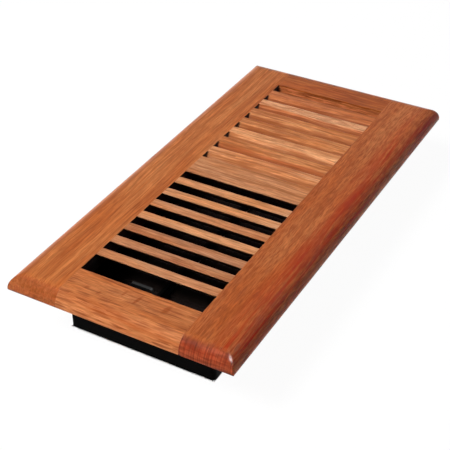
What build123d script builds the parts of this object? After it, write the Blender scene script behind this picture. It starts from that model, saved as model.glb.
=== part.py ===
from build123d import *
from math import cos, radians, sin, tan
import os

# Drop-in floor register: a louvred oak face over a black plastic damper box.
# X runs across the face, Y along it from the finger gap to the far end, and Z up.
# The origin is the centre of the face's underside, which is floor level.
# All sizes are in millimetres and degrees, and the damper is modelled closed.

# Oak face
face_width = 146.0
face_length = 295.0
face_thickness = 10.0
stile_width = 33.25
rail_width = 25.75
edge_flat = 0.5  # square edge left below the rounded outer edges

# Joints in the oak
tenon_length = 8.0
tenon_width = 12.0
tenon_thickness = 4.0
tenon_setback = 3.0  # from a rail's inner edge to its tenon
tongue_length = 2.0  # how far a louvre's end goes into a stile
tongue_height = 6.5  # above the face's underside
glue_gap = 0.1

# Louvres
slats_per_half = 7
slat_top = 7.2
slat_tilt = 43.0  # from upright
slat_ease = 0.25  # bevel on the two top edges of a slat and of the centre bar
finger_gap = 14.75  # beside the near rail, where the thumb tab stands
far_gap = 9.0  # beside the far rail
centre_bar_sole = 2.1  # the centre bar's width at the face's underside

# Damper box
box_wall = 2.0
box_corner = 3.0
rim_chamfer = 0.8
side_setback = 6.75  # from the opening's edge to the long wall's inside
end_setback = 1.75  # from the opening's edge to the end wall's inside
lug_width = 6.25
lug_length = 10.0
lug_thickness = 2.0
stop_reach = 3.2
stop_thickness = 1.5
stop_gap = 0.3

# Screws that hold the box to the stiles
screw_radius = 1.1
screw_grip = 6.0  # length in the oak
screw_head_radius = 2.3
screw_head_height = 1.6
screw_slot_width = 0.7
screw_slot_depth = 0.8
screw_hole_gap = 0.3
pilot_gap = 0.05

# Damper blades
blade_count = 8
closed_tilt = 3.0  # from level, so that the blades lie over each other
swing = 82.0
blade_lap = 1.7
blade_end_gap = 1.2
blade_side_gap = 0.4
blade_root = 3.2  # thickness at the pivot line
blade_tip = 1.2  # thickness at the edges
top_clearance = 1.0  # from an open blade to the oak
rim_clearance = 1.0  # from an open blade to the box's rim
notch_floor = 1.4  # from the pivot line to the link bar's notch
pivot_radius = 1.5
pivot_gap = 0.05
pivot_inset = 0.3  # pivot ends stop short of the box's outside

# Link bar with its thumb tab
crank_radius = 6.0
crank_pin_radius = 1.2
crank_ear_width = 4.4
crank_ear_thickness = 2.0
crank_ear_bevel = 1.2
crank_pin_proud = 0.6
bar_offset = -2.5  # the bar's centre across the face
bar_thickness = 2.0
bar_height = 5.0
bar_side_gap = 0.3
tab_width = 14.0
tab_thickness = 2.0
tab_corner = 1.5
tab_depth = 1.8  # from the face's top down to the tab's top
tab_neck_width = 6.0
tab_flare = 2.5  # height over which the neck widens
tab_clearance = 0.5  # from the open tab to the first slat
stem_width = 5.0
stem_clearance = 0.5  # from an open blade's edge to the tab's neck

# Worked out from the sizes above
half_width = face_width / 2
half_length = face_length / 2
opening_x = half_width - stile_width
opening_y = half_length - rail_width
edge_radius = face_thickness - edge_flat

slat_shift = tan(radians(slat_tilt))  # sideways for each millimetre of depth
centre_bar_width = centre_bar_sole + 2 * slat_shift * face_thickness
louvre_run = 2 * opening_y - finger_gap - centre_bar_width - far_gap
slat_pitch = louvre_run / (2 * slats_per_half)
first_slat_y = finger_gap - opening_y
bar_near_y = first_slat_y + slats_per_half * slat_pitch
bar_far_y = bar_near_y + centre_bar_width

inner_x = opening_x + side_setback
inner_y = opening_y + end_setback
box_x = inner_x + box_wall
box_y = inner_y + box_wall

blade_run = 2 * (inner_y - blade_end_gap) - blade_lap
blade_pitch = blade_run / blade_count
blade_chord = blade_pitch + blade_lap
blade_x = inner_x - blade_side_gap
open_tilt = radians(closed_tilt + swing)
open_reach = (blade_chord * sin(open_tilt) + blade_tip * cos(open_tilt)) / 2
pivot_z = -top_clearance - open_reach
box_depth = open_reach + rim_clearance - pivot_z
pivot_places = [(i - (blade_count - 1) / 2) * blade_pitch for i in range(blade_count)]

# The lugs stand midway between the last two blades at each end, out of their swing.
screw_x = inner_x - lug_width / 2
screw_y = (pivot_places[-1] + pivot_places[-2]) / 2

crank_lean = swing / 2  # from upright, to each side
crank_y = -crank_radius * sin(radians(crank_lean))
crank_z = crank_radius * cos(radians(crank_lean))
crank_hole_radius = crank_pin_radius + pivot_gap
tab_travel = -2 * crank_y
tab_y = first_slat_y - tab_clearance - tab_thickness / 2 - tab_travel
tab_top_z = face_thickness - tab_depth
tab_neck_z = pivot_z + open_reach + stem_clearance
ear_x = bar_offset + bar_thickness / 2 + bar_side_gap
pin_end_x = ear_x - bar_side_gap - bar_thickness - crank_pin_proud


def block(low, high):
    """A box between two opposite corners."""
    size = [b - a for a, b in zip(low, high)]
    middle = [(a + b) / 2 for a, b in zip(low, high)]
    return Pos(*middle) * Box(*size)


def rod(radius, x_low, x_high):
    """A round bar along X."""
    return extrude(Plane.YZ.offset(x_low) * Circle(radius), x_high - x_low)


def save(node, shape):
    """Writes one sub-part's STEP file."""
    export_step(shape, f"parts/{node}.step")


# Oak face

def rounded_section(half_span):
    """A section through the face, with both of its top edges rounded over."""
    section = Pos(0, face_thickness / 2) * Rectangle(2 * half_span, face_thickness)
    return fillet(section.vertices().group_by(Axis.Y)[-1], edge_radius)


def face_blank():
    """The whole face as one slab: its rounded edges meet in mitres at the corners."""
    across = extrude(Plane.XZ * rounded_section(half_width), half_length, both=True)
    along = extrude(Plane.YZ * rounded_section(half_length), half_width, both=True)
    return across & along


def tenon_bar(y, gap=0.0):
    """A rail's two tenons, joined through it; with a gap, their mortises."""
    reach = opening_x + tenon_length + gap
    wide = tenon_width / 2 + gap
    thick = tenon_thickness / 2 + gap
    middle = face_thickness / 2
    return block((-reach, y - wide, middle - thick), (reach, y + wide, middle + thick))


def lean_to(y_top, lean, z):
    """Where a leaning side, at y_top in the face, stands at height z."""
    return y_top + lean * slat_shift * (face_thickness - z)


def louvre_body(y_near, y_far, near_lean, far_lean):
    """A louvre between the stiles, with its top edges eased."""
    eased_z = face_thickness - slat_ease
    outline = Polyline(
        (lean_to(y_near, near_lean, 0), 0),
        (lean_to(y_far, far_lean, 0), 0),
        (lean_to(y_far, far_lean, eased_z), eased_z),
        (y_far - slat_ease, face_thickness),
        (y_near + slat_ease, face_thickness),
        (lean_to(y_near, near_lean, eased_z), eased_z),
        close=True,
    )
    return extrude(Plane.YZ * make_face(outline), opening_x, both=True)


def louvre_tongues(y_near, y_far, near_lean, far_lean, gap=0.0):
    """A louvre's two tongues, joined through it; with a gap, their housings, open below."""
    low = -gap
    high = tongue_height + gap
    outline = Polyline(
        (lean_to(y_near, near_lean, low) - gap, low),
        (lean_to(y_far, far_lean, low) + gap, low),
        (lean_to(y_far, far_lean, high) + gap, high),
        (lean_to(y_near, near_lean, high) - gap, high),
        close=True,
    )
    reach = opening_x + tongue_length + gap
    return extrude(Plane.YZ * make_face(outline), reach, both=True)


def louvre_places():
    """Each louvre's top edges, near and far, and the ways its two sides lean below them."""
    places = {"centre_bar": (bar_near_y, bar_far_y, 1, -1)}
    for i in range(slats_per_half):
        y = first_slat_y + i * slat_pitch
        places[f"near_slat_{i + 1}"] = (y, y + slat_top, 1, 1)
    for i in range(slats_per_half):
        y = bar_far_y + (i + 1) * slat_pitch
        places[f"far_slat_{i + 1}"] = (y - slat_top, y, -1, -1)
    return places


def screw_places():
    """The box screws' centres on the face's underside."""
    return [(sx * screw_x, sy * screw_y) for sx in (-1, 1) for sy in (-1, 1)]


def make_oak_face():
    """The stiles and rails, cut from one rounded blank, and the louvres between them."""
    blank = face_blank()
    cuts = []
    for node, side in (("near_rail", -1), ("far_rail", 1)):
        y_low, y_high = sorted((side * opening_y, side * half_length))
        tenon_y = side * (opening_y + tenon_setback + tenon_width / 2)
        body = blank & block((-opening_x, y_low, 0), (opening_x, y_high, face_thickness))
        save(node, body + tenon_bar(tenon_y))
        cuts.append(tenon_bar(tenon_y, glue_gap))
    for node, sides in louvre_places().items():
        save(node, louvre_body(*sides) + louvre_tongues(*sides))
        cuts.append(louvre_tongues(*sides, gap=glue_gap))
    for x, y in screw_places():
        pilot = Cylinder(screw_radius + pilot_gap, 2 * (screw_grip + pilot_gap))
        cuts.append(Pos(x, y, 0) * pilot)
    for node, side in (("left_stile", -1), ("right_stile", 1)):
        x_low, x_high = sorted((side * opening_x, side * half_width))
        region = block((x_low, -half_length, 0), (x_high, half_length, face_thickness))
        save(node, (blank & region) - cuts)


# Damper box

def make_damper_box():
    """One moulding: four walls, two screw lugs on each long side and a stop on each end."""
    box = extrude(RectangleRounded(2 * box_x, 2 * box_y, box_corner), -box_depth)
    rim = box.faces().sort_by(Axis.Z)[0]
    box = chamfer(rim.edges(), rim_chamfer)
    inside = RectangleRounded(2 * inner_x, 2 * inner_y, box_corner - box_wall)
    box -= extrude(inside, -box_depth)
    lug = Box(lug_width, lug_length, lug_thickness)
    box += [Pos(x, y, -lug_thickness / 2) * lug for x, y in screw_places()]
    # Each stop is on the side that its blade leaves as the damper opens.
    edge_rise = blade_chord / 2 * sin(radians(closed_tilt))
    stop_z = edge_rise - blade_tip / 2 - stop_gap
    reach_y = inner_y - stop_reach
    near_z = pivot_z + stop_z
    far_z = pivot_z - stop_z
    box += block((-inner_x, -inner_y, near_z - stop_thickness), (inner_x, -reach_y, near_z))
    box += block((-inner_x, reach_y, far_z), (inner_x, inner_y, far_z + stop_thickness))
    pivot_hole = rod(pivot_radius + pivot_gap, -box_x, box_x)
    box -= [Pos(0, y, pivot_z) * pivot_hole for y in pivot_places]
    screw_hole = Cylinder(screw_radius + screw_hole_gap, 2 * lug_thickness)
    box -= [Pos(x, y, -lug_thickness / 2) * screw_hole for x, y in screw_places()]
    save("damper_box", box)


def make_box_screws():
    """Slotted wood screws, driven up through the lugs."""
    head = extrude(Circle(screw_head_radius), -screw_head_height)
    head -= Pos(0, 0, -screw_head_height) * Box(2 * screw_head_radius, screw_slot_width, 2 * screw_slot_depth)
    screw = head + extrude(Circle(screw_radius), lug_thickness + screw_grip)
    places = [Pos(x, y, -lug_thickness) for x, y in screw_places()]
    save("box_screws", Compound(children=[place * screw for place in places]))


# Damper

def make_blade():
    """A blade about its own pivot: a tapered plate with a crank for the link bar."""
    half_chord = blade_chord / 2
    outline = Polyline(
        (-half_chord, -blade_tip / 2),
        (0, -blade_root / 2),
        (half_chord, -blade_tip / 2),
        (half_chord, blade_tip / 2),
        (0, blade_root / 2),
        (-half_chord, blade_tip / 2),
        close=True,
    )
    blade = extrude(Plane.YZ * make_face(outline), blade_x, both=True)
    # The link bar passes through a notch in the edge that rises.
    notch_low = pin_end_x - bar_side_gap
    blade -= block((notch_low, -blade_chord, -blade_root), (ear_x, -notch_floor, blade_root))
    pivot_end = box_x - pivot_inset
    blade += rod(pivot_radius, -pivot_end, pivot_end)
    crank_angle = 90 + crank_lean + closed_tilt
    ear_side = crank_ear_width / 2
    ear_end = crank_radius + ear_side
    ear = Polyline(
        (0, -ear_side),
        (ear_end - crank_ear_bevel, -ear_side),
        (ear_end, crank_ear_bevel - ear_side),
        (ear_end, ear_side - crank_ear_bevel),
        (ear_end - crank_ear_bevel, ear_side),
        (0, ear_side),
        close=True,
    )
    ear = Plane.YZ.offset(ear_x) * Rot(Z=crank_angle) * make_face(ear)
    blade += extrude(ear, crank_ear_thickness)
    pin = Pos(0, crank_radius, 0) * rod(crank_pin_radius, pin_end_x, ear_x)
    blade += Rot(X=crank_angle) * pin
    return Rot(X=-closed_tilt) * blade


def make_link_bar():
    """A strip with a hole for each crank pin, and the thumb tab on a stem at its near end."""
    pins = [y + crank_y for y in pivot_places]
    bar_z = pivot_z + crank_z
    low_z = bar_z - bar_height / 2
    shoulder_z = tab_neck_z + tab_flare
    stem_low = tab_y - stem_width / 2
    stem_high = tab_y + stem_width / 2
    strip_start = min(stem_low, pins[0] - bar_height / 2)
    strip_length = pins[-1] + bar_height / 2 - strip_start
    profile = Pos(strip_start + strip_length / 2, bar_z) * Rectangle(strip_length, bar_height)
    stem = Polyline(
        (stem_low, low_z),
        (stem_high, low_z),
        (stem_high, tab_neck_z),
        (tab_y, shoulder_z),
        (stem_low, tab_neck_z),
        close=True,
    )
    profile += make_face(stem)
    profile -= [Pos(y, bar_z) * Circle(crank_hole_radius) for y in pins]
    bar = extrude(Plane.YZ.offset(bar_offset) * profile, bar_thickness / 2, both=True)
    tab = Polyline(
        (-tab_neck_width / 2, tab_neck_z),
        (tab_neck_width / 2, tab_neck_z),
        (tab_width / 2, shoulder_z),
        (tab_width / 2, tab_top_z),
        (-tab_width / 2, tab_top_z),
        (-tab_width / 2, shoulder_z),
        close=True,
    )
    tab = make_face(tab)
    tab = fillet(tab.vertices().group_by(Axis.Y)[-1], tab_corner)
    tab_plane = Plane((bar_offset, tab_y, 0), x_dir=(1, 0, 0), z_dir=(0, -1, 0))
    bar += extrude(tab_plane * tab, tab_thickness / 2, both=True)
    save("link_bar", bar)


os.makedirs("parts", exist_ok=True)
make_oak_face()
make_damper_box()
make_box_screws()
make_link_bar()
damper_blade = make_blade()
for number, pivot_y in enumerate(pivot_places, start=1):
    save(f"damper_blade_{number}", Pos(0, pivot_y, pivot_z) * damper_blade)
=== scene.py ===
import math

import bmesh
import bpy
from mathutils import Matrix, Vector


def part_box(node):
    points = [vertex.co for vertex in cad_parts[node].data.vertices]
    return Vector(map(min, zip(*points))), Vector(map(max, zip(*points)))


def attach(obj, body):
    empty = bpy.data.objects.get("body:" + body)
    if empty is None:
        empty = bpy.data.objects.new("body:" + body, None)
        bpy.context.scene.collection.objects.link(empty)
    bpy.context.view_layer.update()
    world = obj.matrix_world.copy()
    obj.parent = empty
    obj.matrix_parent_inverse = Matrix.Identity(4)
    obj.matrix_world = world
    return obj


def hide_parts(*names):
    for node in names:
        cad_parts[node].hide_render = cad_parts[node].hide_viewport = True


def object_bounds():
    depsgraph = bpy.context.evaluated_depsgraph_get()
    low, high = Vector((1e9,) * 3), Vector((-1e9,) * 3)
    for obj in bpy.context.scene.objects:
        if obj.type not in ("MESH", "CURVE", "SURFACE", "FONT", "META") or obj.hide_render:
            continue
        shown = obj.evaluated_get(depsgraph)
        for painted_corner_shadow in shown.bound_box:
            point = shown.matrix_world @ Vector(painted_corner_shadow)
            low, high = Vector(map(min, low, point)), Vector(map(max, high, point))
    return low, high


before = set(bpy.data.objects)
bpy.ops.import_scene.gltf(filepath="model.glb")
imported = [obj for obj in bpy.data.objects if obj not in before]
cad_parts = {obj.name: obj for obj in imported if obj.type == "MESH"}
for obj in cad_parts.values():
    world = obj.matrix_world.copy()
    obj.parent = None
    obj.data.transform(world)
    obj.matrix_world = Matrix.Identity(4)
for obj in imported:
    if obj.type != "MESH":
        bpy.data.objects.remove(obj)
cad_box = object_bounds()

bl_info = {
    "name": "Oak floor register",
    "version": (1, 0, 0),
    "blender": (4, 5, 0),
    "location": "View3D > Sidebar > Register",
    "description": "Finishes a drop-in oak floor register and sets it on a studio stage",
    "category": "Object",
}

MM = 0.001
SLATS_PER_HALF = 7
BLADE_COUNT = 8

# Figure of the oak in millimetres, along the grain and across it
WANDER_SIZE = (80.0, 26.0)
WANDER_REACH = 5.0
PATCH_SIZE = (60.0, 11.0)
FIBRE_WIDTH = 0.95
SMALL_PORE_SIZE = (8.0, 0.7)
# On an end: the hatching's spacing, the growth rings' size across and up, and how deep both run
HATCH_WIDTH = 0.95
RING_SIZE = (14.0, 1.5)
END_DEPTH = 30.0
# How far apart the boards lie in the log that they are all cut from
BOARD_STEP = Vector((163.0, 47.0, 31.0))
# What early wood, late wood and redder patches make of a board's tone
PALE_SHARE = Vector((1.1, 1.2, 1.3))
LATE_SHARE = Vector((0.64, 0.45, 0.32))
RED_SHARE = Vector((1.0, 0.82, 0.6))
# Across the face in millimetres: where the edge's stain and painted shade and the eased corners begin and
# are full, where the painted shade on a gap's end wall stops, and where the painted shadow in the corner
# of a louvre and the left stile runs
EDGE_SHADE_AND_STAIN = (54.0, 66.0)
EASED_CORNER = (50.0, 60.0)
WALL_SHADE_REACH = (41.5, 40.5)
LOUVRE_CORNER_SHADOW = (-38.3, -39.2)
# A colour Mix node takes its share at 0, the colour under at 6 and the one over at 7
COLOUR_MIX = dict(output=2, data_type="RGBA")

# Screws: steps round a head and over its dome, and shares of the head's height, shank, head radius
# and recess width
HEAD_STEPS = 32
DOME_STEPS = 6
DOME_SHARE = 0.75
POINT_SHARE = 0.25
POINT_SCALE = 0.15
RECESS_REACH = 0.62
RECESS_DEPTH = 0.9
RECESS_TAPER = 0.6

# Stage, in metres
FLOOR_SIZE = 6.0
KEY_PLACE = (-1.035, -1.61, 2.30)
KEY_SIZE = 0.9
GLINT_PLACE = (0.9, -0.3, 1.75)
GLINT_SIZE = 0.12
# The floor's own white and the share of real light that shows the shadow
FLOOR_GLOW = 0.96
FLOOR_SHADE = 0.05
# The camera's sensor, in millimetres
SENSOR_WIDTH = 36.0


def linear(hex_colour):
    """An sRGB hex colour as linear red, green, blue and alpha."""
    parts = [int(hex_colour[i:i + 2], 16) / 255 for i in (1, 3, 5)]
    parts = [c / 12.92 if c <= 0.04045 else ((c + 0.055) / 1.055) ** 2.4 for c in parts]
    return (*parts, 1.0)


def add(tree, kind, inputs=(), output=0, **settings):
    """Adds a node with its settings and its values or links, and gives one of its outputs."""
    node = tree.nodes.new("ShaderNode" + kind)
    for name, value in settings.items():
        setattr(node, name, value)
    for key, value in dict(inputs).items():
        if isinstance(value, bpy.types.NodeSocket):
            tree.links.new(value, node.inputs[key])
        else:
            node.inputs[key].default_value = value
    return node.outputs[output] if node.outputs else node


def new_material(name):
    """An empty node material."""
    material = bpy.data.materials.new(name)
    material.use_nodes = True
    material.node_tree.nodes.clear()
    return material


# Sizes and colours that a user would change

class OakProps(bpy.types.PropertyGroup):
    line_width: bpy.props.FloatProperty(
        name="Line width", description="Spacing of the growth lines across the grain in millimetres",
        default=2.4, min=0.5)
    pore_gap: bpy.props.FloatProperty(
        name="Pore gap", description="Spacing of the pore dashes across the grain in millimetres",
        default=1.25, min=0.5)
    pore_colour: bpy.props.FloatVectorProperty(
        name="Pore colour", description="Stain gathered in the open pores", subtype="COLOR", size=4,
        min=0, max=1, default=linear("#6A2A11"))
    end_colour: bpy.props.FloatVectorProperty(
        name="End grain colour", description="End grain, which drinks more stain", subtype="COLOR", size=4,
        min=0, max=1, default=linear("#863C22"))
    # Painted shade: this colour stands in for the deep shadow on the sides of the gaps and in the louvres'
    # corners.
    painted_shade_colour: bpy.props.FloatVectorProperty(
        name="Dark stain", description="Stain left thick on the sides of the gaps", subtype="COLOR", size=4,
        min=0, max=1, default=linear("#1C0906"))
    roughness: bpy.props.FloatProperty(
        name="Lacquer roughness", description="Roughness of the satin lacquer", subtype="FACTOR",
        default=0.3, min=0, max=1)


class PlasticProps(bpy.types.PropertyGroup):
    colour: bpy.props.FloatVectorProperty(
        name="Colour", description="Black moulded plastic", subtype="COLOR", size=4,
        min=0, max=1, default=linear("#050505"))
    blade_colour: bpy.props.FloatVectorProperty(
        name="Blade colour", description="Blades, moulded in a greyer black", subtype="COLOR", size=4,
        min=0, max=1, default=linear("#1F1917"))
    roughness: bpy.props.FloatProperty(
        name="Roughness", description="Fine matt mould finish", subtype="FACTOR", default=0.42)
    grain: bpy.props.FloatProperty(
        name="Grain", description="Size of the mould's spark texture in millimetres", default=0.8)


class SteelProps(bpy.types.PropertyGroup):
    colour: bpy.props.FloatVectorProperty(
        name="Colour", description="Zinc plate", subtype="COLOR", size=4,
        min=0, max=1, default=linear("#C3C6CA"))
    roughness: bpy.props.FloatProperty(
        name="Roughness", description="Dull zinc plate", subtype="FACTOR", default=0.34)
    head_radius: bpy.props.FloatProperty(
        name="Head radius", description="Radius of a screw's pan head", unit="LENGTH", default=2.3 * MM)
    head_height: bpy.props.FloatProperty(
        name="Head height", description="Height of a screw's pan head", unit="LENGTH", default=1.6 * MM)
    shank_radius: bpy.props.FloatProperty(
        name="Shank radius", description="Radius of a screw's shank", unit="LENGTH", default=1.1 * MM)
    recess_width: bpy.props.FloatProperty(
        name="Recess width", description="Width of each arm of the cross recess", unit="LENGTH",
        default=0.7 * MM)


class StageProps(bpy.types.PropertyGroup):
    azimuth: bpy.props.FloatProperty(
        name="Camera azimuth", description="Camera's turn about the vertical", subtype="ANGLE",
        default=math.radians(29.838))
    elevation: bpy.props.FloatProperty(
        name="Camera elevation", description="Camera's angle above the horizon", subtype="ANGLE",
        default=math.radians(35.818))
    roll: bpy.props.FloatProperty(
        name="Camera roll", description="Camera's turn about its own line of sight", subtype="ANGLE",
        default=math.radians(-0.593))
    distance: bpy.props.FloatProperty(
        name="Camera distance", description="From the origin to the camera's plane", unit="LENGTH",
        default=0.69917)
    side_step: bpy.props.FloatProperty(
        name="Side step", description="Camera's place to the right of the origin", unit="LENGTH",
        default=-0.01343)
    rise: bpy.props.FloatProperty(
        name="Rise", description="Camera's place above the origin, in its own frame", unit="LENGTH",
        default=-0.01883)
    lens: bpy.props.FloatProperty(
        name="Lens", description="Focal length in millimetres on a 36 mm sensor", default=88.557)
    floor_colour: bpy.props.FloatVectorProperty(
        name="Floor", description="Plain pale floor", subtype="COLOR", size=4,
        min=0, max=1, default=linear("#E8E8E8"))
    world_level: bpy.props.FloatProperty(
        name="World level", description="Light from all round", default=0.08)
    key_power: bpy.props.FloatProperty(
        name="Key power", description="Soft light at the front left", unit="POWER", default=106.0)
    glint_power: bpy.props.FloatProperty(
        name="Glint power", description="Small lamp for the lacquer's highlights", unit="POWER",
        default=560.0)


# Materials

def oak(name, axis, tone, seed, lines=0.5, line_length=80.0, pores=0.5, pore_length=16.0, specks=0.4,
        fibre_length=14.0, edge=0.0, edge_stain_and_shade_tone=(0.5, 0.35, 0.23), painted_wall_shade=0.0, painted_corner_shadow=0.0, end_share=1.0,
        rays=(), bands=()):
    """Red oak, planed, stained golden brown and lacquered satin.

    Growth lines and open pores that hold the stain run along the grain, and end grain drinks more of it.
    Lines, pores and specks are the strengths of the growth lines, the pores and the small pores between
    them. The edge setting is how much darker the rounded edge and a far louvre's leaning face turn, partly
    as stain that gathers there and partly as painted shade, and the edge tone what it leaves of the board's
    tone. The wall and corner settings are painted shade on the sides of the gaps and painted shadow where a
    louvre meets the left stile. Rays are the marks across the grain where the saw met a ray, and bands are
    sapwood or redder wood between two heights; the band at each far slat's foot is a painted shadow line.
    """
    props = bpy.context.scene.register_oak
    material = new_material(name)
    tree = material.node_tree
    place = add(tree, "TexCoord", output="Object")
    normal = add(tree, "TexCoord", output="Normal")
    up = add(tree, "SeparateXYZ", {0: normal}, output="Z")
    along = Vector((1, 0, 0)) if axis == "X" else Vector((0, 1, 0))
    # Millimetres, with the grain along the first axis.
    spot = add(tree, "Mapping", {"Vector": place, "Scale": (1 / MM, 1 / MM, 1 / MM)})
    board = add(tree, "Mapping", {
        "Vector": spot, "Rotation": (0, 0, 0.0 if axis == "X" else -math.pi / 2),
        "Location": BOARD_STEP * seed})
    across = add(tree, "SeparateXYZ", {0: spot}, output="X")
    off_middle = add(tree, "Math", {0: across}, operation="ABSOLUTE")

    # Slow wander of the grain, so that no line is dead straight.
    length, width = WANDER_SIZE
    wander = add(tree, "Mapping", {"Vector": board, "Scale": (1 / length, 1 / width, 1 / width)})
    wander = add(tree, "TexNoise", {"Vector": wander, "Scale": 1.0, "Detail": 1.0}, output="Color")
    wander = add(tree, "VectorMath", {0: wander, 1: (0.5, 0.5, 0.5)}, operation="SUBTRACT")
    wander = add(tree, "VectorMath", {0: wander, 1: (0.0, WANDER_REACH, WANDER_REACH)}, operation="MULTIPLY")
    grain = add(tree, "VectorMath", {0: board, 1: wander}, operation="ADD")

    # Broad patches where the board took the stain unevenly.
    length, width = PATCH_SIZE
    patch = add(tree, "Mapping", {"Vector": grain, "Scale": (1 / length, 1 / width, 1 / width)})
    patch = add(tree, "TexNoise", {"Vector": patch, "Scale": 1.0, "Detail": 2.0})
    patch = add(tree, "MapRange", {"Value": patch, "From Min": 0.32, "From Max": 0.68})

    # Growth lines, cut nearly on the quarter, with sharp dark late wood.
    line = add(tree, "Mapping", {
        "Vector": grain, "Scale": (1 / line_length, 1 / props.line_width, 1 / props.line_width)})
    line = add(tree, "TexNoise", {"Vector": line, "Scale": 1.0, "Detail": 3.0, "Roughness": 0.62})
    line = add(tree, "MapRange", {"Value": line, "From Min": 0.4, "From Max": 0.62},
               interpolation_type="SMOOTHSTEP")

    # Fibres, drawn about three times as coarse as life so that they show.
    fibre = add(tree, "Mapping", {
        "Vector": grain, "Scale": (1 / fibre_length, 1 / FIBRE_WIDTH, 1 / FIBRE_WIDTH)})
    fibre = add(tree, "TexNoise", {"Vector": fibre, "Scale": 1.0, "Detail": 4.0, "Roughness": 0.68})

    # Pore dashes: long cells along the grain, about twice as wide as life so that they show.
    cells = add(tree, "Mapping", {
        "Vector": grain, "Scale": (1 / pore_length, 1 / props.pore_gap, 1 / props.pore_gap)})
    cells = add(tree, "TexVoronoi", {"Vector": cells, "Scale": 1.0}, feature="F1").node
    reach = add(tree, "SeparateColor", {"Color": cells.outputs["Color"]})
    reach = add(tree, "MapRange", {"Value": reach, "From Min": 0.1, "From Max": 1.0, "To Max": 0.78})
    pore = add(tree, "Math", {0: reach, 1: cells.outputs["Distance"]}, operation="SUBTRACT")
    pore = add(tree, "MapRange", {"Value": pore, "From Max": 0.26}, interpolation_type="SMOOTHSTEP")
    crowd = add(tree, "MapRange", {"Value": patch, "To Min": 1.0, "To Max": 0.5})
    pore = add(tree, "Math", {0: pore, 1: crowd}, operation="MULTIPLY")

    # Small pores between them, half as wide again as life so that they show.
    length, width = SMALL_PORE_SIZE
    small = add(tree, "Mapping", {"Vector": grain, "Scale": (1 / length, 1 / width, 1 / width)})
    small = add(tree, "TexVoronoi", {"Vector": small, "Scale": 1.0}, output="Distance", feature="F1")
    small = add(tree, "MapRange", {"Value": small, "From Min": 0.46, "From Max": 0.3, "To Max": specks})

    # Colours, from the pale early wood to the late wood and redder patches.
    base = Vector(linear(tone)[:3])
    pale = (*(base * PALE_SHARE), 1.0)
    late = (*(base * LATE_SHARE), 1.0)
    red = (*(base * RED_SHARE), 1.0)
    # The edge's darker tone is partly stain and partly painted shade; the dark colour is painted shade.
    thick = (*(base * Vector(edge_stain_and_shade_tone)), 1.0)
    dark = tuple(props.painted_shade_colour)
    colour = add(tree, "Mix", {0: patch, 6: red, 7: pale}, **COLOUR_MIX)
    share = add(tree, "Math", {0: line, 1: lines}, operation="MULTIPLY")
    colour = add(tree, "Mix", {0: share, 6: colour, 7: late}, **COLOUR_MIX)
    for low, high, band_colour, band_share in bands:
        height = add(tree, "SeparateXYZ", {0: spot}, output="Z")
        height = add(tree, "Math", {0: patch, 1: 0.8, 2: height}, operation="MULTIPLY_ADD")
        rise = add(tree, "MapRange", {"Value": height, "From Min": low, "From Max": low + 0.5})
        fall = add(tree, "MapRange", {"Value": height, "From Min": high + 0.5, "From Max": high})
        share = add(tree, "Math", {0: rise, 1: fall}, operation="MULTIPLY")
        strength = add(tree, "MapRange", {
            "Value": fibre, "From Min": 0.3, "From Max": 0.6, "To Max": band_share})
        share = add(tree, "Math", {0: share, 1: strength}, operation="MULTIPLY")
        colour = add(tree, "Mix", {0: share, 6: colour, 7: linear(band_colour)}, **COLOUR_MIX)
    for x, y, length, width, angle, ray_share in rays:
        ray = add(tree, "Mapping", {
            "Vector": spot, "Location": (x, y, 0), "Rotation": (0, 0, math.radians(angle)),
            "Scale": (length / 2, width / 2, 40.0)}, vector_type="TEXTURE")
        ray = add(tree, "TexGradient", {"Vector": ray}, output="Fac", gradient_type="QUADRATIC_SPHERE")
        ray = add(tree, "Math", {0: ray, 1: fibre}, operation="MULTIPLY")
        ray = add(tree, "MapRange", {"Value": ray, "From Min": 0.02, "From Max": 0.16, "To Max": ray_share})
        colour = add(tree, "Mix", {0: ray, 6: colour, 7: late}, **COLOUR_MIX)
    fibre_tone = add(tree, "MapRange", {
        "Value": fibre, "From Min": 0.36, "From Max": 0.64, "To Min": 0.78, "To Max": 1.24})
    colour = add(tree, "VectorMath", {0: colour, "Scale": fibre_tone}, operation="SCALE")
    colour = add(tree, "Mix", {0: small, 6: colour, 7: late}, **COLOUR_MIX)
    # The rounded edge cuts more pores open.
    over = add(tree, "MapRange", {"Value": up, "From Min": 0.97, "From Max": 0.6},
               interpolation_type="SMOOTHSTEP")
    share = add(tree, "MapRange", {"Value": over, "To Min": 0.6 * pores, "To Max": pores})
    share = add(tree, "Math", {0: pore, 1: share}, operation="MULTIPLY")
    colour = add(tree, "Mix", {0: share, 6: colour, 7: tuple(props.pore_colour)}, **COLOUR_MIX)

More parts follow.
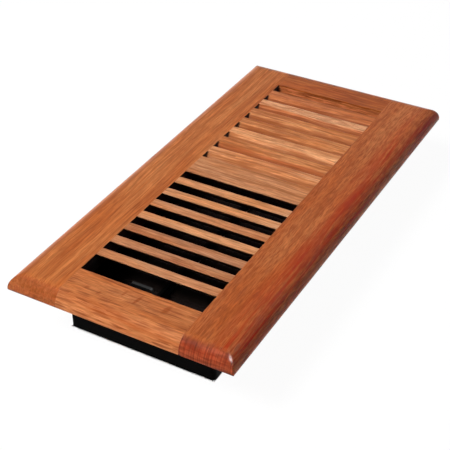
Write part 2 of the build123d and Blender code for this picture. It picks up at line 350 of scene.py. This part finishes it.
    # End grain shows where the surface faces along the grain: pores end on, as hatching that growth
    # rings cross. The hatching is drawn about three times as coarse as life so that it shows.
    end = add(tree, "VectorMath", {0: normal, 1: along}, output="Value", operation="DOT_PRODUCT")
    end = add(tree, "Math", {0: end}, operation="ABSOLUTE")
    end = add(tree, "MapRange", {"Value": end, "From Min": 0.2, "From Max": 0.6, "To Max": end_share},
              interpolation_type="SMOOTHSTEP")
    hatch = add(tree, "Mapping", {"Vector": board, "Scale": (1 / END_DEPTH, 1 / HATCH_WIDTH, 1 / END_DEPTH)})
    hatch = add(tree, "TexNoise", {"Vector": hatch, "Scale": 1.0, "Detail": 2.0})
    hatch = add(tree, "MapRange", {
        "Value": hatch, "From Min": 0.4, "From Max": 0.6, "To Min": 0.72, "To Max": 1.35})
    length, width = RING_SIZE
    rings = add(tree, "Mapping", {"Vector": board, "Scale": (1 / END_DEPTH, 1 / length, 1 / width)})
    rings = add(tree, "TexNoise", {"Vector": rings, "Scale": 1.0, "Detail": 1.0})
    rings = add(tree, "MapRange", {
        "Value": rings, "From Min": 0.4, "From Max": 0.6, "To Min": 0.7, "To Max": 1.25})
    hatch = add(tree, "Math", {0: hatch, 1: rings}, operation="MULTIPLY")
    hatch = add(tree, "VectorMath", {0: tuple(props.end_colour)[:3], "Scale": hatch}, operation="SCALE")
    colour = add(tree, "Mix", {0: end, 6: colour, 7: hatch}, **COLOUR_MIX)

    # Stain runs darker over the rounded edge and the far louvres' leaning faces, in patches, and less so on
    # the end grain; this darkening is partly stain and partly painted shade.
    stain_and_shade_share = add(tree, "MapRange", {"Value": line, "To Min": 0.3, "To Max": 1.3})
    uneven = add(tree, "MapRange", {"Value": patch, "To Min": 1.0, "To Max": 0.5})
    stain_and_shade_share = add(tree, "Math", {0: stain_and_shade_share, 1: uneven}, operation="MULTIPLY")
    lip = add(tree, "MapRange", {
        "Value": off_middle, "From Min": EDGE_SHADE_AND_STAIN[0], "From Max": EDGE_SHADE_AND_STAIN[1], "To Max": 0.7})
    lip = add(tree, "Math", {0: over, 1: lip}, operation="MAXIMUM")
    stain_and_shade_share = add(tree, "Math", {0: lip, 1: stain_and_shade_share}, operation="MULTIPLY")
    crest = add(tree, "MapRange", {
        "Value": up, "From Min": 0.1, "From Max": 0.6, "To Min": 0.4 * edge, "To Max": edge})
    stain_and_shade_share = add(tree, "Math", {0: stain_and_shade_share, 1: crest}, operation="MULTIPLY")
    spare = add(tree, "MapRange", {"Value": end, "To Min": 1.0, "To Max": 0.3})
    stain_and_shade_share = add(tree, "Math", {0: stain_and_shade_share, 1: spare}, operation="MULTIPLY")
    colour = add(tree, "Mix", {0: stain_and_shade_share, 6: colour, 7: thick}, **COLOUR_MIX)

    # Painted shadow in the corner where a louvre meets the left stile, and painted shade lying thick on the
    # sides of the gaps.
    # Painted shadow: the stile's edge would cast this onto the louvre's face.
    stile_nook_shadow = add(tree, "MapRange", {
        "Value": across, "From Min": LOUVRE_CORNER_SHADOW[0], "From Max": LOUVRE_CORNER_SHADOW[1], "To Max": painted_corner_shadow})
    stile_nook_shadow = add(tree, "Math", {0: stile_nook_shadow, 1: over}, operation="MULTIPLY")
    colour = add(tree, "Mix", {0: stile_nook_shadow, 6: colour, 7: dark}, **COLOUR_MIX)
    side = add(tree, "MapRange", {"Value": up, "From Min": 0.1, "From Max": 0.02, "To Max": painted_wall_shade})
    within = add(tree, "MapRange", {
        "Value": off_middle, "From Min": WALL_SHADE_REACH[0], "From Max": WALL_SHADE_REACH[1]})
    side = add(tree, "Math", {0: side, 1: within}, operation="MULTIPLY")
    colour = add(tree, "Mix", {0: side, 6: colour, 7: dark}, **COLOUR_MIX)

    rough = add(tree, "Math", {0: pore, 1: 0.2, 2: props.roughness}, operation="MULTIPLY_ADD")
    height = add(tree, "Math", {0: fibre, 1: -0.4}, operation="MULTIPLY")
    height = add(tree, "Math", {0: height, 1: pore}, operation="SUBTRACT")
    # Sharp edges catch the light as if sanded, most of all at the corners of the face.
    outer = add(tree, "MapRange", {
        "Value": off_middle, "From Min": EASED_CORNER[0], "From Max": EASED_CORNER[1],
        "To Min": 0.4 * MM, "To Max": 2.4 * MM})
    eased = add(tree, "Bevel", {"Radius": outer}, samples=4)
    bump = add(tree, "Bump", {"Height": height, "Strength": 0.3, "Distance": 0.15 * MM, "Normal": eased})
    # The room is white where it is mirrored, so the lacquer's shine is set low to keep the stain's depth.
    shader = add(tree, "BsdfPrincipled", {
        "Base Color": colour, "Roughness": rough, "Normal": bump, "IOR": 1.45, "Specular IOR Level": 0.08})
    add(tree, "OutputMaterial", {"Surface": shader})
    return material


def black_plastic(name, plain, shine, polished_above=None):
    """Polypropylene, injection moulded in a spark-finished mould: matt black with a faint grain.

    Where thumbs have polished it above some height, it keeps the mould's dull skin below that.
    """
    props = bpy.context.scene.register_plastic
    material = new_material(name)
    tree = material.node_tree
    place = add(tree, "TexCoord", output="Object")
    size = 1 / (props.grain * MM)
    spark = add(tree, "TexNoise", {"Vector": place, "Scale": size, "Detail": 2.0})
    flow = add(tree, "TexNoise", {"Vector": place, "Scale": 1 / (30 * MM), "Detail": 1.0})
    tone = add(tree, "MapRange", {
        "Value": flow, "From Min": 0.3, "From Max": 0.7, "To Min": 0.85, "To Max": 1.2})
    colour = add(tree, "VectorMath", {0: tuple(plain)[:3], "Scale": tone}, operation="SCALE")
    rough = add(tree, "MapRange", {
        "Value": spark, "From Min": 0.3, "From Max": 0.7,
        "To Min": props.roughness - 0.06, "To Max": props.roughness + 0.08})
    if polished_above is not None:
        height = add(tree, "SeparateXYZ", {0: place}, output="Z")
        dull = add(tree, "MapRange", {
            "Value": height, "From Min": polished_above, "From Max": polished_above - 2 * MM, "To Max": 0.5})
        rough = add(tree, "Math", {0: rough, 1: dull}, operation="ADD")
    bump = add(tree, "Bump", {"Height": spark, "Strength": 0.12, "Distance": 0.1 * MM})
    shader = add(tree, "BsdfPrincipled", {
        "Base Color": colour, "Roughness": rough, "Normal": bump, "IOR": 1.49, "Specular IOR Level": shine})
    add(tree, "OutputMaterial", {"Surface": shader})
    return material


def zinc_steel():
    """Steel, zinc plated: a dull blue-grey metal with cloudy patches."""
    props = bpy.context.scene.register_steel
    material = new_material("zinc_plated_steel")
    tree = material.node_tree
    place = add(tree, "TexCoord", output="Object")
    cloud = add(tree, "TexNoise", {"Vector": place, "Scale": 1 / (1.2 * MM), "Detail": 3.0})
    tone = add(tree, "MapRange", {
        "Value": cloud, "From Min": 0.3, "From Max": 0.7, "To Min": 0.8, "To Max": 1.1})
    colour = add(tree, "VectorMath", {0: tuple(props.colour)[:3], "Scale": tone}, operation="SCALE")
    rough = add(tree, "MapRange", {
        "Value": cloud, "To Min": props.roughness - 0.08, "To Max": props.roughness + 0.12})
    shader = add(tree, "BsdfPrincipled", {"Base Color": colour, "Roughness": rough, "Metallic": 1.0})
    add(tree, "OutputMaterial", {"Surface": shader})
    return material


def select_faces(rule):
    """Selects only the faces, in edit mode, that the rule takes by their place and normal."""
    bpy.ops.mesh.select_all(action="DESELECT")
    mesh = bpy.context.edit_object.data
    shape = bmesh.from_edit_mesh(mesh)
    for face in shape.faces:
        face.select_set(rule(face.calc_center_median(), face.normal))
    bmesh.update_edit_mesh(mesh)


def select_edges(rule):
    """Selects only the edges, in edit mode, that the rule takes by their two ends."""
    bpy.ops.mesh.select_all(action="DESELECT")
    mesh = bpy.context.edit_object.data
    shape = bmesh.from_edit_mesh(mesh)
    for edge in shape.edges:
        edge.select_set(rule(edge.verts[0].co, edge.verts[1].co))
    bmesh.update_edit_mesh(mesh)


def wear(node, material):
    """Puts a material on all of a CAD node's slots."""
    mesh_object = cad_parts[node]
    for slot in mesh_object.material_slots:
        slot.material = material


# How each oak piece was cut: grain axis, tone and the strength of its markings, among them the edge
# darkening, partly painted shade, and the painted shade on the gap walls and in the louvres' corners
OAK_PIECES = {
    "left_stile": dict(
        axis="Y", tone="#BC6F3B", lines=0.6, line_length=140.0, pores=0.4, pore_length=14.0,
        fibre_length=20.0, edge=0.4, painted_wall_shade=1.0, end_share=0.5),
    "right_stile": dict(
        axis="Y", tone="#AE6032", lines=0.4, pores=0.5, pore_length=8.0, specks=0.7, fibre_length=8.0,
        edge=0.95, edge_stain_and_shade_tone=(0.85, 0.13, 0.02), painted_wall_shade=1.0),
    # Rays: x, y, length and width in millimetres, turn in degrees and strength.
    "near_rail": dict(
        axis="X", tone="#BC7344", lines=0.45, pores=1.0, pore_length=13.0, specks=0.5,
        edge=0.5, edge_stain_and_shade_tone=(0.8, 0.45, 0.2), rays=[
            (3.8, -130.2, 15.0, 3.6, 78.0, 0.9), (21.9, -129.6, 14.0, 6.5, 78.0, 1.0),
            (-5.7, -128.5, 9.0, 3.0, 78.0, 0.7), (-27.0, -134.0, 6.0, 3.6, 30.0, 0.7),
            (-18.5, -135.0, 6.0, 3.6, 50.0, 0.7)]),
    "far_rail": dict(
        axis="X", tone="#AA5A28", lines=0.75, line_length=50.0, pores=0.7, edge=0.1,
        bands=[(-9.0, 9.3, "#D87D4E", 0.9)]),
    "centre_bar": dict(axis="X", tone="#C3865C", lines=0.75, pores=0.4, painted_wall_shade=1.0),
}
# The boards that the slats are cut from, and which slat comes from which
BOARD_TONES = {
    "pale": "#D59B70", "honey": "#C2845B", "brown": "#B87F5B",
    "light": "#DB9665", "mid": "#C9824F", "red": "#C3784A",
}
NEAR_BOARDS = ["honey", "brown", "brown", "pale", "honey", "pale", "pale"]
FAR_BOARDS = ["light", "mid", "light", "mid", "mid", "red", "red"]
# How much each far slat's leaning face darkens, partly stain and partly painted shade
FAR_FACE_STAIN_AND_SHADE = [1.0, 0.6, 0.7, 0.85, 1.0, 0.6, 0.6]
# Bands by far slat, and the painted shadow line at every far slat's foot: lowest and highest millimetre,
# colour and strength
FAR_BANDS = {
    2: [(7.2, 9.3, "#B6582B", 0.85)],
    3: [(10.0, 20.0, "#EFB580", 0.45)],
    5: [(-9.0, 9.3, "#96502A", 0.9)],
    6: [(9.8, 20.0, "#EDB88A", 0.7)],
}
FOOT_SHADOW_LINE = (-9.0, 8.3, "#6A2F16", 0.8)
for number in range(1, SLATS_PER_HALF + 1):
    OAK_PIECES[f"near_slat_{number}"] = dict(
        axis="X", tone=BOARD_TONES[NEAR_BOARDS[number - 1]], lines=0.5, line_length=50.0, pores=0.5,
        painted_wall_shade=1.0)
    OAK_PIECES[f"far_slat_{number}"] = dict(
        axis="X", tone=BOARD_TONES[FAR_BOARDS[number - 1]], lines=0.85, line_length=38.0, pores=0.6,
        edge=FAR_FACE_STAIN_AND_SHADE[number - 1], painted_corner_shadow=0.9, bands=[*FAR_BANDS.get(number, ()), FOOT_SHADOW_LINE])


class REGISTER_OT_oak_face(bpy.types.Operator):
    """Finishes the oak face, each piece from its own board"""
    bl_idname = "oak_register.oak_face"
    bl_label = "Oak face"

    def execute(self, context):
        for seed, (node, cut) in enumerate(OAK_PIECES.items(), start=1):
            wear(node, oak(f"stained_oak_{node}", seed=seed, **cut))
        return {"FINISHED"}


class REGISTER_OT_damper(bpy.types.Operator):
    """Finishes the damper box, its blades and the link bar"""
    bl_idname = "oak_register.damper"
    bl_label = "Damper"

    def execute(self, context):
        props = context.scene.register_plastic
        wear("damper_box", black_plastic("moulded_polypropylene", props.colour, 0.01))
        blades = black_plastic("blade_polypropylene", props.blade_colour, 0.01)
        for number in range(BLADE_COUNT):
            wear(f"damper_blade_{number + 1}", blades)
        wear("link_bar", black_plastic(
            "thumb_polished_polypropylene", props.colour, 0.13, polished_above=-2 * MM))
        return {"FINISHED"}


class REGISTER_OT_screws(bpy.types.Operator):
    """Models the pan-head screws that hold the box to the stiles"""
    bl_idname = "oak_register.screws"
    bl_label = "Box screws"

    def execute(self, context):
        props = context.scene.register_steel
        low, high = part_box("box_screws")
        seat = low.z + props.head_height
        x, y = high.x - props.head_radius, high.y - props.head_radius
        screw = self.screw(context, props, Vector((x, y, seat)), high.z)
        screw.data.materials.append(zinc_steel())
        screws = [screw]
        for shift in ((-2 * x, 0, 0), (0, -2 * y, 0), (-2 * x, -2 * y, 0)):
            bpy.ops.object.select_all(action="DESELECT")
            screw.select_set(True)
            context.view_layer.objects.active = screw
            bpy.ops.object.duplicate(linked=False)
            screws.append(context.active_object)
            bpy.ops.object.mode_set(mode="EDIT")
            bpy.ops.mesh.select_all(action="SELECT")
            bpy.ops.transform.translate(value=shift)
            bpy.ops.object.mode_set(mode="OBJECT")
        for piece in screws:
            piece.select_set(True)
        context.view_layer.objects.active = screw
        bpy.ops.object.join()
        screw.name = "pan_head_screws"
        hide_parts("box_screws")
        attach(screw, "register")
        return {"FINISHED"}

    def screw(self, context, props, seat, tip):
        """One screw, head down: a domed head with a cross recess, and a pointed shank."""
        recess = self.recess(context, props, seat)
        bpy.ops.object.select_all(action="DESELECT")
        bpy.ops.mesh.primitive_cylinder_add(
            vertices=HEAD_STEPS, radius=props.head_radius, depth=props.head_height,
            location=seat - Vector((0, 0, props.head_height / 2)))
        screw = context.active_object
        bpy.ops.object.transform_apply(location=True, rotation=False, scale=False)
        bpy.ops.object.mode_set(mode="EDIT")
        bottom = seat.z - props.head_height
        select_edges(lambda a, b: abs(a.z - bottom) < 0.01 * MM and abs(b.z - bottom) < 0.01 * MM)
        bpy.ops.mesh.bevel(
            offset=DOME_SHARE * props.head_height, segments=DOME_STEPS, affect="EDGES", clamp_overlap=False)
        select_faces(lambda place, normal: normal.z > 0.9)
        bpy.ops.mesh.inset(thickness=props.head_radius - props.shank_radius)
        for share in (1 - POINT_SHARE, POINT_SHARE):
            bpy.ops.mesh.extrude_region_move(TRANSFORM_OT_translate={"value": (0, 0, share * (tip - seat.z))})
        bpy.ops.transform.resize(
            value=(POINT_SCALE, POINT_SCALE, 1.0), center_override=(seat.x, seat.y, tip))
        bpy.ops.object.mode_set(mode="OBJECT")
        cut = screw.modifiers.new("cross_recess", "BOOLEAN")
        cut.operation = "DIFFERENCE"
        cut.object = recess
        bpy.ops.object.modifier_apply(modifier=cut.name)
        bpy.ops.object.shade_smooth_by_angle(angle=math.radians(35))
        bpy.ops.object.select_all(action="DESELECT")
        recess.select_set(True)
        bpy.ops.object.delete()
        return screw

    def recess(self, context, props, seat):
        """The cross that is cut into a head, narrower towards its depth."""
        width = props.recess_width
        reach = RECESS_REACH * props.head_radius - width / 2
        bottom = seat.z - props.head_height
        bpy.ops.object.select_all(action="DESELECT")
        bpy.ops.mesh.primitive_cube_add(size=width, location=(seat.x, seat.y, bottom))
        cross = context.active_object
        bpy.ops.object.transform_apply(location=True, rotation=False, scale=False)
        bpy.ops.object.mode_set(mode="EDIT")
        for way in ((1, 0, 0), (-1, 0, 0), (0, 1, 0), (0, -1, 0)):
            way = Vector(way)
            select_faces(
                lambda place, normal: normal.dot(way) > 0.9 and (place - seat).dot(way) > 0.3 * width)
            bpy.ops.mesh.extrude_region_move(TRANSFORM_OT_translate={"value": way * reach})
        select_faces(lambda place, normal: normal.z > 0.9)
        bpy.ops.transform.translate(value=(0, 0, (RECESS_DEPTH - 0.5) * width))
        bpy.ops.transform.resize(
            value=(RECESS_TAPER, RECESS_TAPER, 1.0),
            center_override=(seat.x, seat.y, bottom + RECESS_DEPTH * width))
        bpy.ops.object.mode_set(mode="OBJECT")
        return cross


class REGISTER_OT_stage(bpy.types.Operator):
    """Makes the floor, the lamps, the world and the camera"""
    bl_idname = "oak_register.stage"
    bl_label = "Stage"

    def execute(self, context):
        props = context.scene.register_stage
        context.scene.view_settings.view_transform = "Standard"
        bpy.ops.object.select_all(action="DESELECT")
        bpy.ops.mesh.primitive_plane_add(size=FLOOR_SIZE, location=(0, 0, cad_box[0].z))
        floor = context.active_object
        floor.name = "studio_floor"
        floor.data.materials.append(self.paper(props))
        self.light_world(context, props)
        # The key isn't mirrored, because its reflection would lie as a pale haze on the louvres.
        key = self.lamp("key_lamp", KEY_PLACE, KEY_SIZE, props.key_power)
        key.visible_glossy = False
        # A small high lamp that only makes the lacquer glint at its corners.
        glint = self.lamp("glint_lamp", GLINT_PLACE, GLINT_SIZE, props.glint_power)
        glint.visible_diffuse = False
        self.camera(context, props)
        return {"FINISHED"}

    def paper(self, props):
        """White studio paper: white to the camera, with a share of real light that keeps the shadow."""
        material = new_material("studio_paper")
        tree = material.node_tree
        path = add(tree, "LightPath").node
        seen = add(tree, "Math", {0: path.outputs["Is Camera Ray"], 1: path.outputs["Is Glossy Ray"]},
                   operation="MAXIMUM")
        seen = add(tree, "Math", {0: seen, 1: path.outputs["Is Transmission Ray"]}, operation="MAXIMUM")
        # The floor doesn't glow inside the damper box, where no light reaches it.
        _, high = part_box("damper_box")
        place = add(tree, "TexCoord", output="Object")
        for axis in range(2):
            side = add(tree, "SeparateXYZ", {0: place}, output=axis)
            side = add(tree, "Math", {0: side}, operation="ABSOLUTE")
            side = add(tree, "Math", {0: side, 1: high[axis]}, operation="GREATER_THAN")
            outside = side if axis == 0 else add(tree, "Math", {0: outside, 1: side}, operation="MAXIMUM")
        seen = add(tree, "Math", {0: seen, 1: outside}, operation="MULTIPLY")
        lit = add(tree, "BsdfDiffuse", {"Color": tuple(props.floor_colour)})
        faint = add(tree, "BsdfDiffuse", {"Color": (FLOOR_SHADE, FLOOR_SHADE, FLOOR_SHADE, 1.0)})
        glow = add(tree, "Emission", {"Color": (1, 1, 1, 1), "Strength": FLOOR_GLOW})
        white = add(tree, "AddShader", {0: faint, 1: glow})
        surface = add(tree, "MixShader", {0: seen, 1: lit, 2: white})
        add(tree, "OutputMaterial", {"Surface": surface})
        return material

    def light_world(self, context, props):
        """A grey studio all round, which is white where it is seen or mirrored."""
        world = bpy.data.worlds.new("studio")
        context.scene.world = world
        world.use_nodes = True
        tree = world.node_tree
        tree.nodes.clear()
        path = add(tree, "LightPath").node
        seen = add(tree, "Math", {0: path.outputs["Is Camera Ray"], 1: path.outputs["Is Glossy Ray"]},
                   operation="MAXIMUM")
        seen = add(tree, "Math", {0: seen, 1: path.outputs["Is Transmission Ray"]}, operation="MAXIMUM")
        grey = add(tree, "Background", {"Color": (1, 1, 1, 1), "Strength": props.world_level})
        white = add(tree, "Background", {"Color": (1, 1, 1, 1), "Strength": 1.0})
        surface = add(tree, "MixShader", {0: seen, 1: grey, 2: white})
        add(tree, "OutputWorld", {"Surface": surface})

    def lamp(self, name, place, size, power):
        """A square soft lamp that points at the middle of the register."""
        bpy.ops.object.light_add(type="AREA", location=place)
        lamp = bpy.context.active_object
        lamp.name = name
        lamp.rotation_euler = (-Vector(place)).to_track_quat("-Z", "Y").to_euler()
        lamp.data.size = size
        lamp.data.energy = power
        return lamp

    def camera(self, context, props):
        """The camera at the photograph's place."""
        back = Vector((
            math.sin(props.azimuth) * math.cos(props.elevation),
            -math.cos(props.azimuth) * math.cos(props.elevation),
            math.sin(props.elevation)))
        right = Vector((0, 0, 1)).cross(back).normalized()
        up = back.cross(right)
        turn = Matrix.Rotation(props.roll, 3, back)
        right = turn @ right
        up = turn @ up
        bpy.ops.object.camera_add()
        camera = context.active_object
        camera.name = "photo_camera"
        axes = Matrix((right, up, back)).transposed()
        camera.matrix_world = Matrix.Translation(
            back * props.distance + right * props.side_step + up * props.rise) @ axes.to_4x4()
        camera.data.sensor_width = SENSOR_WIDTH
        camera.data.lens = props.lens
        camera.data.clip_start = 0.01
        context.scene.camera = camera


class REGISTER_PT_panel(bpy.types.Panel):
    """The register's pieces and their settings"""
    bl_idname = "REGISTER_PT_panel"
    bl_label = "Oak floor register"
    bl_space_type = "VIEW_3D"
    bl_region_type = "UI"
    bl_category = "Register"

    def draw(self, context):
        for operator in OPERATORS:
            self.layout.operator(operator.bl_idname)
        for group in GROUPS:
            settings = getattr(context.scene, group)
            box = self.layout.box()
            for name in settings.bl_rna.properties.keys():
                if name not in ("rna_type", "name"):
                    box.prop(settings, name)


GROUPS = {
    "register_oak": OakProps,
    "register_plastic": PlasticProps,
    "register_steel": SteelProps,
    "register_stage": StageProps,
}
OPERATORS = [REGISTER_OT_oak_face, REGISTER_OT_damper, REGISTER_OT_screws, REGISTER_OT_stage]


def register():
    for group, props in GROUPS.items():
        bpy.utils.register_class(props)
        setattr(bpy.types.Scene, group, bpy.props.PointerProperty(type=props))
    for cls in OPERATORS + [REGISTER_PT_panel]:
        bpy.utils.register_class(cls)


def unregister():
    for cls in [REGISTER_PT_panel] + OPERATORS[::-1]:
        bpy.utils.unregister_class(cls)
    for group, props in GROUPS.items():
        delattr(bpy.types.Scene, group)
        bpy.utils.unregister_class(props)


def main():
    register()
    bpy.ops.oak_register.oak_face()
    bpy.ops.oak_register.damper()
    bpy.ops.oak_register.screws()
    bpy.ops.oak_register.stage()


if __name__ == "__main__":
    main()
